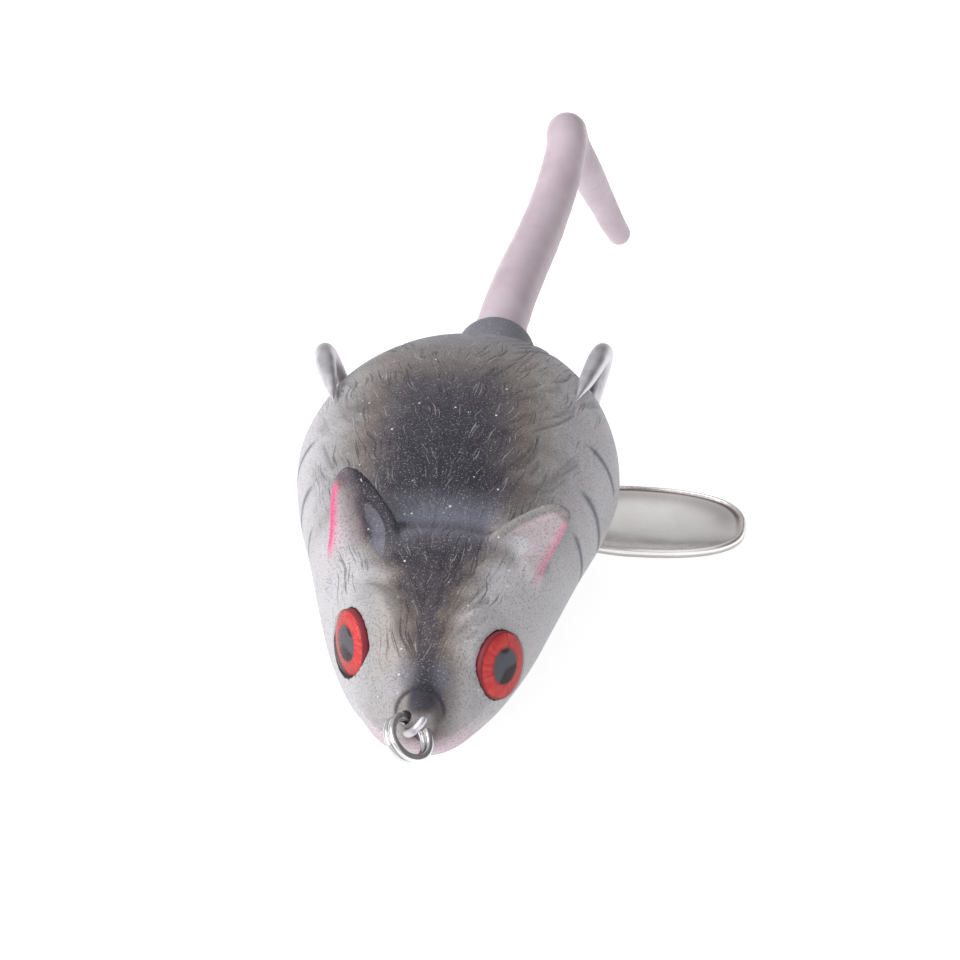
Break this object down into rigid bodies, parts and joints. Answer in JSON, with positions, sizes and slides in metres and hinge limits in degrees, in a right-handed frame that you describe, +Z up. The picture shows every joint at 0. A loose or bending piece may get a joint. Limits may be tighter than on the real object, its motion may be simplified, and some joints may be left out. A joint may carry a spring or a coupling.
{
  "type": "mouse-shaped hollow-body fishing lure",
  "caption": "Soft hollow mouse lure with a long tail, an upturned double hook, a nose ring and a spinner blade on a swivel under the belly.",
  "frame": {"origin": "on the flat underside of the belly weight, under the body's middle", "axes": "+Y from the nose to the tail, +Z up, +X to the mouse's left side"},
  "size_m": [0.0417, 0.1151, 0.0235],
  "materials": {
    "skin": "soft moulded skin, sprayed charcoal to pearl grey, glossy",
    "tail": "soft translucent pinkish grey, satin",
    "eye_foil": "red reflective print with a dark pupil",
    "eye_dome": "clear domed resin",
    "hook": "bright plated wire",
    "ring": "bright plated flat wire",
    "weight": "dull cast grey metal",
    "swivel": "dark plated",
    "blade": "polished"
  },
  "bodies": {
    "body": {"body_skin": "skin", "left_eye_foil": "eye_foil", "right_eye_foil": "eye_foil", "left_eye_dome": "eye_dome", "right_eye_dome": "eye_dome", "tail_plug": "tail", "belly_weight": "weight", "belly_eye": "hook"},
    "hook": {"double_hook": "hook"},
    "nose_ring": {"nose_split_ring": "ring"},
    "tail": {"tail": "tail"},
    "swivel_front": {"swivel_front_eye": "hook"},
    "barrel": {"swivel_barrel": "swivel"},
    "swivel_rear": {"swivel_rear_eye": "hook"},
    "blade_ring": {"blade_split_ring": "ring"},
    "blade": {"spinner_blade": "blade"}
  },
  "joints": [
    {"name": "hook_rock", "type": "hinge", "parent": "body", "child": "hook", "pos_m": [0.00015, -0.0285, 0.0085], "axis": [1, 0, 0], "range_deg": [0, 2], "stiffness_Nm_per_rad": 0.05},
    {"name": "nose_ring_swing", "type": "hinge", "parent": "hook", "child": "nose_ring", "pos_m": [0.00015, -0.0302, 0.0085], "axis": [-0.7071, 0, 0.7071], "range_deg": [-8, 20]},
    {"name": "tail_sway", "type": "hinge", "parent": "body", "child": "tail", "pos_m": [0.0013, 0.0297, 0.0125], "axis": [0, 0, 1], "range_deg": [-20, 20], "stiffness_Nm_per_rad": 0.003},
    {"name": "swivel_swing", "type": "hinge", "parent": "body", "child": "swivel_front", "pos_m": [0.00047, 0.00653, 0.0015], "axis": [-0.8693, 0.4943, 0], "range_deg": [-2, 65]},
    {"name": "barrel_spin", "type": "hinge", "parent": "swivel_front", "child": "barrel", "pos_m": [0.00242, 0.00995, 0.00149], "axis": [0.4943, 0.8693, 0], "continuous": true},
    {"name": "swivel_twist", "type": "hinge", "parent": "swivel_front", "child": "swivel_rear", "pos_m": [0.00428, 0.01322, 0.00148], "axis": [0.4943, 0.8693, 0], "range_deg": [-10, 10]},
    {"name": "blade_ring_swing", "type": "hinge", "parent": "swivel_rear", "child": "blade_ring", "pos_m": [0.00428, 0.01322, 0.00148], "axis": [0.6147, -0.3495, 0.7071], "range_deg": [-10, 10]},
    {"name": "blade_swing", "type": "hinge", "parent": "blade_ring", "child": "blade", "pos_m": [0.0058, 0.0159, 0.00135], "axis": [0, 0, 1], "range_deg": [-12, 25]}
  ]
}
